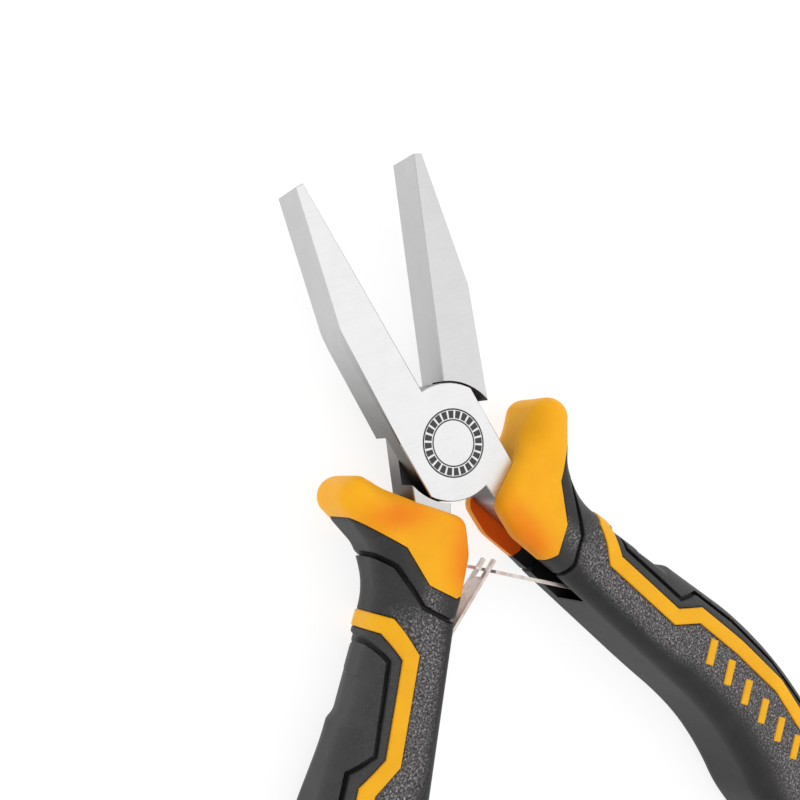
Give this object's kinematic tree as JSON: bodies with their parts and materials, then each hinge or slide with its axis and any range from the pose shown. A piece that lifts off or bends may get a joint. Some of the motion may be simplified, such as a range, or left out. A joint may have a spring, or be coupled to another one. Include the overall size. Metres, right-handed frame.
{
  "type": "flat nose pliers",
  "caption": "Small flat nose pliers with a lap joint, smooth tapered jaws, a leaf spring and bowed two-colour grips with thumb guards.",
  "frame": {"origin": "on the pivot axis, in the joint's flat back face", "axes": "+Y along the middle line between the open jaws, towards their tips; +Z along the pivot axis towards the front face; +X to the right jaw's side"},
  "size_m": [0.085, 0.109, 0.012],
  "materials": {
    "steel": "fine ground, satin",
    "spring_steel": "spring steel, straw tinted",
    "guard": "satin moulded",
    "sleeve": "soft, fine leather grain",
    "inlay": "satin moulded"
  },
  "bodies": {
    "front": {"front_half": "steel", "pivot_pin": "steel", "right_grip_core": "guard", "right_grip_sleeve": "sleeve", "right_grip_inlay": "inlay", "right_grip_bars": "inlay"},
    "rear": {"rear_half": "steel", "left_grip_core": "guard", "left_grip_sleeve": "sleeve", "left_grip_inlay": "inlay", "left_grip_bars": "inlay"},
    "tongue_leaf": {"tongue_leaf": "spring_steel"},
    "fork_leaf": {"fork_leaf": "spring_steel"}
  },
  "joints": [
    {"name": "jaw_pivot", "type": "hinge", "parent": "front", "child": "rear", "pos_m": [0, 0, 0.003], "axis": [0, 0, 1], "range_deg": [-8, 24.8]},
    {"name": "tongue_flex", "type": "hinge", "parent": "front", "child": "tongue_leaf", "pos_m": [0.01511, -0.02729, 0.003], "axis": [0, 0, 1], "range_deg": [-15.2, 5.04]},
    {"name": "fork_flex", "type": "hinge", "parent": "rear", "child": "fork_leaf", "pos_m": [-0.01511, -0.02729, 0.003], "axis": [0, 0, 1], "range_deg": [-5.04, 15.2]}
  ],
  "couplings": [
    {"joint": "tongue_flex", "follows": "jaw_pivot", "ratio": -0.605},
    {"joint": "fork_flex", "follows": "jaw_pivot", "ratio": 0.605}
  ]
}
